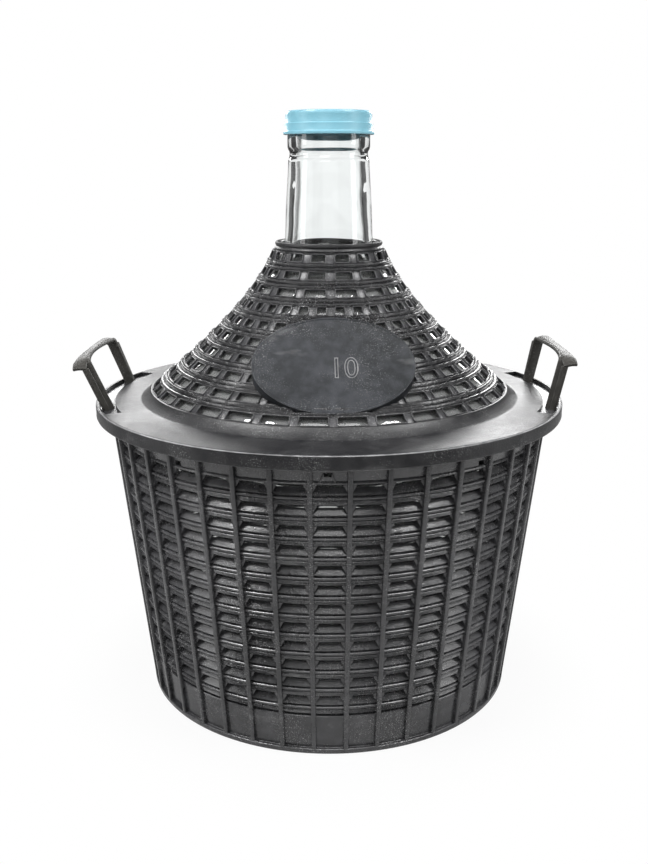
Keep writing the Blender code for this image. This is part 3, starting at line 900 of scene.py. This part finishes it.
coverShell = joinPieces("coverShell", [coverCollar(), coverFlange()])
# the flange's top edge and the skirt's foot get a painted highlight
finishPiece(coverShell, flangePlastic, shade=30, replaced="cover", isOther=isFlangeHighlightEdge)
for made, finish in ((coverCanes(), conePlastic), (coverBars(), barPlastic), (coverFrames(), barPlastic)):
    finishPiece(made, finish, shade=50)
print("cover is ready")


# Oval plate on the cover

plate = {
    "width": 0.0965,
    "length": 0.0694,
    "middle": (0.0, -0.0868, 0.2353),
    "turn": 1.6,
    "slope": 43.5,
    "edge": 0.0010,            # width of the raised edge
    "edgeSlope": 0.0004,
    "edgeRise": 0.0005,
    "wall": 0.0022,
    "depth": 0.0240,
    "sunk": 0.0012,            # how far the plate's box reaches under the cone's line
    "cutBottom": 0.15,         # well under that box
    "digits": "10",
    "digitHeight": 0.0150,
    "digitShare": 0.73,        # of the font's size that a digit takes
    "digitStretch": 0.85,
    "digitPlace": (0.0060, -0.0030),
    "digitLine": 0.00034,
}


def plateFrame():
    return (Matrix.Rotation(math.radians(plate["turn"]), 4, "Z") @ Matrix.Translation(plate["middle"])
            @ Matrix.Rotation(math.radians(plate["slope"]), 4, "X"))


def makePlate():
    clearSelection()
    bpy.ops.mesh.primitive_cylinder_add(vertices=96, radius=1, depth=1, location=(0, 0, 0))
    disc = bpy.context.object
    disc.name = "plate"
    size = (plate["width"] / 2, plate["length"] / 2, plate["depth"])
    disc.data.transform(Matrix.Diagonal((*size, 1)) @ Matrix.Translation((0, 0, -0.5)))
    makeActive(disc)
    bpy.ops.object.mode_set(mode="EDIT")
    pickFaces(disc, lambda face: face.normal.z > 0.9)
    bpy.ops.mesh.inset(thickness=plate["edge"], depth=0)
    bpy.ops.mesh.inset(thickness=plate["edgeSlope"], depth=-plate["edgeRise"])
    pickFaces(disc, lambda face: face.normal.z < -0.9)
    bpy.ops.mesh.inset(thickness=plate["wall"], depth=0)
    bpy.ops.transform.translate(value=(0, 0, plate["depth"] - plate["wall"]))
    endEdit()
    roundEdges(disc, 0.0003, 2, 40)
    disc.data.transform(plateFrame())
    line = [tuple(coneAt(coneLength * (1 - i / 16), -plate["sunk"])) for i in range(17)]
    bottom = plate["cutBottom"]
    line = [(0.0, bottom), (line[0][0], bottom)] + line + [(0.0, line[-1][1])]
    cutAway(disc, turnedPiece("innerCone", line, 96, closed=False))
    return disc


def makeDigits():
    clearSelection()
    bpy.ops.object.text_add(location=(0, 0, 0))
    text = bpy.context.object.data
    text.body = plate["digits"]
    text.size = plate["digitHeight"] / plate["digitShare"]
    text.align_x = text.align_y = "CENTER"
    text.fill_mode = "NONE"
    text.bevel_depth = plate["digitLine"]
    text.bevel_resolution = 1
    bpy.ops.object.convert(target="MESH")
    digits = bpy.context.object
    digits.name = "plateDigits"
    x, y = plate["digitPlace"]
    digits.data.transform(plateFrame() @ Matrix.Translation((x, y, -plate["edgeRise"]))
                          @ Matrix.Diagonal((plate["digitStretch"], 1, 1, 1)))
    return digits


finishPiece(makePlate(), platePlastic, shade=35)
# the digits take the same light colour as the painted edge highlight
finishPiece(makeDigits(), paintedEdgeHighlight, shade=60)
print("plate is ready")


# Bottle

bottle = {
    "base": [(0.0, 0.0153), (0.040, 0.0142), (0.070, 0.0098), (0.084, 0.0063), (0.0905, 0.00535),
             (0.0970, 0.00535), (0.1040, 0.0063), (0.1110, 0.0096), (0.1158, 0.0150),
             (0.1183, 0.0210), (0.1193, 0.0280)],
    "body": [(0.1345, 0.1690), (0.1349, 0.1760), (0.1334, 0.1822), (0.1290, 0.1875),
             (0.1234, 0.1918), (0.1174, 0.1970), (0.1055, 0.2074), (0.0939, 0.2172),
             (0.0825, 0.2274), (0.0714, 0.2379), (0.0615, 0.2480), (0.0523, 0.2585),
             (0.0443, 0.2690), (0.0372, 0.2796), (0.0327, 0.2876), (0.0300, 0.2950),
             (0.0286, 0.3020), (0.0282, 0.3080), (0.0278, 0.3200), (0.0270, 0.3330),
             (0.0262, 0.3450), (0.0260, 0.3500)],
    "mouth": [(0.0259, 0.3508), (0.0256, 0.3516), (0.0252, 0.3530), (0.0250, 0.3550),
              (0.0252, 0.3564), (0.0259, 0.3574), (0.02635, 0.3590), (0.02635, 0.3772),
              (0.0261, 0.3783), (0.0253, 0.3789), (0.0216, 0.3789), (0.0207, 0.3785),
              (0.02015, 0.3775)],
    "inside": [(0.0202, 0.3700), (0.0206, 0.3580), (0.0209, 0.3450), (0.0216, 0.3250),
               (0.0231, 0.3030), (0.0258, 0.2900), (0.0332, 0.2755), (0.0489, 0.2555),
               (0.0688, 0.2352), (0.0915, 0.2143), (0.1145, 0.1945), (0.1215, 0.1875),
               (0.1290, 0.1815), (0.1311, 0.1740), (0.1154, 0.0258), (0.1130, 0.0185),
               (0.1080, 0.0125), (0.0975, 0.0089), (0.0700, 0.0135), (0.0400, 0.0178),
               (0.0, 0.0189)],
    "steps": 128,
    "wave": 0.00006,           # of the blown wall inside the neck
    "waves": ((1.0, 3, 190), (0.6, 5, -420)),    # share, and how fast it turns round and upwards
    "waveSpan": (0.283, 0.372),
    "waveRadius": 0.0248,
    "shoulderMove": 0.0021,    # out and up, nearer to the cover than in the CAD
    "shoulderSpan": (0.188, 0.206, 0.268, 0.290),    # begins, is full, is still full and ends
    "dustTop": 0.292,
}


def waveNeck(spot, radius):
    low, high = bottle["waveSpan"]
    if low < spot.z < high and radius < bottle["waveRadius"]:
        angle = math.atan2(spot.y, spot.x)
        fade = math.sin(math.pi * (spot.z - low) / (high - low))
        wave = sum(share * math.sin(around * angle + up * spot.z) for share, around, up in bottle["waves"])
        scale = 1 + bottle["wave"] * fade * wave / radius
        spot.x *= scale
        spot.y *= scale


def moveShoulder(spot, radius):
    low, full, still, high = bottle["shoulderSpan"]
    if low < spot.z < high:
        share = min((spot.z - low) / (full - low), (high - spot.z) / (high - still), 1.0)
        move = bottle["shoulderMove"] * share * share * (3 - 2 * share)
        spot += Vector((move * spot.x / radius, move * spot.y / radius, move))


def makeBottle():
    outline = fitCurve(bottle["base"], 2) + fitCurve(bottle["body"], 2) + bottle["mouth"]
    inside = fitCurve(bottle["inside"][:5], 6) + fitCurve(bottle["inside"][4:], 2)[1:]
    piece = turnedPiece("bottleGlass", outline + inside, bottle["steps"], closed=False)
    for vert in piece.data.vertices:
        radius = math.hypot(vert.co.x, vert.co.y)
        waveNeck(vert.co, radius)
        moveShoulder(vert.co, radius)
    return piece


def isDusty(place):
    # a cloth reaches only the neck above the cover
    return place.z < bottle["dustTop"]


finishPiece(makeBottle(), bottleGlass, shade=60, replaced="bottle", isOther=isDusty,
            other=dustyGlass)
print("bottle is ready")


# Cap

cap = {
    "outline": [(0.0, 0.3808), (0.0200, 0.3808), (0.0250, 0.38095), (0.0262, 0.3809), (0.0270, 0.3805),
                (0.0274, 0.3797), (0.02745, 0.3785), (0.0275, 0.3739), (0.02765, 0.3735),
                (0.0280, 0.3733), (0.0281, 0.3728), (0.0281, 0.3690), (0.0283, 0.3686),
                (0.0288, 0.3683), (0.02895, 0.3677), (0.0289, 0.3668), (0.0286, 0.36648),
                (0.0268, 0.36652), (0.02665, 0.3670), (0.02665, 0.3792), (0.01985, 0.3792),
                (0.01985, 0.3730), (0.01865, 0.3730), (0.01865, 0.3792), (0.0, 0.3792)],
    "steps": 128,
}

finishPiece(turnedPiece("capShell", cap["outline"], cap["steps"], closed=False), capPlastic, shade=35,
            body="cap", replaced="cap")
print("cap is ready")


# Floor, light and camera

stage = {
    "white": (1, 1, 1, 1),
    "paper": (0.4, 0.4, 0.4, 1),
    "floorSize": 7.4,
    "floorFoot": (0.112, 0.124),    # the floor is plain paper under the foot and nearly white outside
    "floorFade": (0.124, 0.20),     # from the first white to full white
    "floorLeast": 0.92,
    "fill": 0.30,                   # light from all round
    "shadeCard": {                       # a low dark card all round that only the glass shows; its faint glow is painted shade for what is seen through the bottle
        "radius": 0.46,
        "bottom": 0.012,
        "top": 0.245,
        "colour": (0.045, 0.046, 0.047, 1),
    },
    "corners": {                    # the studio's dark corners and ceiling, which only the glass shows
        "middle": 0.08,
        "inner": (0.36, 0.46),
        "outer": (0.84, 0.90),
        "shade": 0.05,
        "ceiling": (0.50, 0.70),
        "ceilingShade": 0.25,
    },
    "lamps": {                      # place, aim, size and power
        "leftBack": ((-0.50, 1.05, 0.66), (-0.05, 0, 0.20), (0.50, 0.36), 5.6),
        "rightBack": ((0.50, 1.05, 0.66), (0.05, 0, 0.20), (0.50, 0.36), 7.2),
        "left": ((-1.20, -0.40, 0.50), (0, 0, 0.12), (0.35, 0.80), 3.2),
        "right": ((1.20, -0.40, 0.50), (0, 0, 0.12), (0.35, 0.80), 3.8),
        "leftTop": ((-0.60, -0.32, 1.05), (0, 0, 0.17), (0.40, 0.40), 14.0),
        "rightTop": ((0.60, -0.32, 1.05), (0, 0, 0.17), (0.40, 0.40), 11.0),
        "top": ((0.0, -0.65, 1.25), (0, 0, 0.20), (0.60, 0.60), 6.0),
        "front": ((-0.35, -1.60, 0.90), (0, 0, 0.12), (0.90, 0.50), 4.0),
    },
    "camera": {
        "lens": 41.625,
        "sensor": 36,
        "place": (-0.00307, -0.66266, 0.35065),
        "down": 15.20,
        "roll": 0.08,
    },
}


def newTree(owner):
    owner.use_nodes = True
    owner.node_tree.nodes.clear()
    return owner.node_tree


def smoothRange(tree, value, span, result=(0.0, 1.0)):
    return rangeOf(tree, value, span, result, "SMOOTHSTEP")


def makeFloor():
    clearSelection()
    bpy.ops.mesh.primitive_plane_add(size=stage["floorSize"], location=(0, 0, 0))
    floor = bpy.context.object
    floor.name = "floor"
    material = bpy.data.materials.new("floorPaper")
    tree = newTree(material)
    place, path = addNode(tree, "TexCoord"), addNode(tree, "LightPath")
    distance = addNode(tree, "VectorMath", operation="LENGTH")
    feed(tree, place.outputs["Object"], distance.inputs[0])
    outside = smoothRange(tree, distance.outputs["Value"], stage["floorFoot"])
    fade = smoothRange(tree, distance.outputs["Value"], stage["floorFade"], (stage["floorLeast"], 1.0))
    seen = calculate(tree, "MAXIMUM", path.outputs["Is Camera Ray"], path.outputs["Is Transmission Ray"])
    share = calculate(tree, "MULTIPLY", calculate(tree, "MULTIPLY", outside, fade), seen)
    paper, glow = addNode(tree, "BsdfDiffuse"), addNode(tree, "Emission")
    feed(tree, stage["paper"], paper.inputs["Color"])
    feed(tree, stage["white"], glow.inputs["Color"])
    mix, end = addNode(tree, "MixShader"), addNode(tree, "OutputMaterial")
    for number, value in enumerate((share, paper.outputs["BSDF"], glow.outputs["Emission"])):
        feed(tree, value, mix.inputs[number])
    feed(tree, mix.outputs["Shader"], end.inputs["Surface"])
    floor.data.materials.append(material)


def makePaintedShadeCard():
    settings = stage["shadeCard"]
    height = settings["top"] - settings["bottom"]
    clearSelection()
    bpy.ops.mesh.primitive_cylinder_add(vertices=64, radius=settings["radius"], depth=height,
                                        location=(0, 0, settings["bottom"] + height / 2),
                                        end_fill_type="NOTHING")
    shadeCard = bpy.context.object
    shadeCard.name = "paintedShadeCard"
    material = bpy.data.materials.new("paintedShadeCard")
    tree = newTree(material)
    # a faint dark glow as painted shade, seen only through the glass
    dark, end = addNode(tree, "Emission"), addNode(tree, "OutputMaterial")
    feed(tree, settings["colour"], dark.inputs["Color"])
    feed(tree, dark.outputs["Emission"], end.inputs["Surface"])
    shadeCard.data.materials.append(material)
    for ray in ("camera", "diffuse", "glossy", "shadow"):
        setattr(shadeCard, "visible_" + ray, False)


def makeWorld():
    world = bpy.data.worlds.new("studio")
    bpy.context.scene.world = world
    tree = newTree(world)
    corners, fill = stage["corners"], stage["fill"]
    path, place, way = addNode(tree, "LightPath"), addNode(tree, "TexCoord"), addNode(tree, "SeparateXYZ")
    feed(tree, place.outputs["Generated"], way.inputs["Vector"])
    aside = calculate(tree, "ABSOLUTE", calculate(tree, "SUBTRACT", way.outputs["X"], corners["middle"]))
    inner = smoothRange(tree, aside, corners["inner"], (1.0, corners["shade"]))
    outer = smoothRange(tree, aside, corners["outer"])
    ceiling = smoothRange(tree, way.outputs["Z"], corners["ceiling"], (1.0, corners["ceilingShade"]))
    studio = calculate(tree, "MULTIPLY", calculate(tree, "MAXIMUM", inner, outer), ceiling)
    # all rays get the fill, those through the glass the studio, and the camera white
    glass = calculate(tree, "SUBTRACT", studio, fill)
    glass = calculate(tree, "MULTIPLY", glass, path.outputs["Is Transmission Ray"])
    level = calculate(tree, "MAXIMUM", calculate(tree, "ADD", glass, fill), path.outputs["Is Camera Ray"])
    back, end = addNode(tree, "Background"), addNode(tree, "OutputWorld")
    feed(tree, stage["white"], back.inputs["Color"])
    feed(tree, level, back.inputs["Strength"])
    feed(tree, back.outputs["Background"], end.inputs["Surface"])


def addLamp(name, place, aim, size, power):
    data = bpy.data.lights.new(name, "AREA")
    data.shape = "RECTANGLE"
    data.size, data.size_y = size
    data.energy = power
    lamp = bpy.data.objects.new(name, data)
    bpy.context.scene.collection.objects.link(lamp)
    lamp.location = place
    lamp.rotation_euler = (Vector(aim) - Vector(place)).to_track_quat("-Z", "Y").to_euler()
    lamp.visible_camera = False
    lamp.visible_transmission = False


def makeCamera():
    settings = stage["camera"]
    data = bpy.data.cameras.new("camera")
    data.sensor_fit = "VERTICAL"
    data.sensor_height = settings["sensor"]
    data.lens = settings["lens"]
    camera = bpy.data.objects.new("camera", data)
    bpy.context.scene.collection.objects.link(camera)
    camera.location = settings["place"]
    camera.rotation_euler = (math.radians(90 - settings["down"]), math.radians(settings["roll"]), 0)
    bpy.context.scene.camera = camera


makeFloor()
# painted shade that only the glass shows
makePaintedShadeCard()
makeWorld()
for name, settings in stage["lamps"].items():
    addLamp(name, *settings)
makeCamera()
bpy.context.scene.view_settings.view_transform = "Standard"
print("stage is ready")
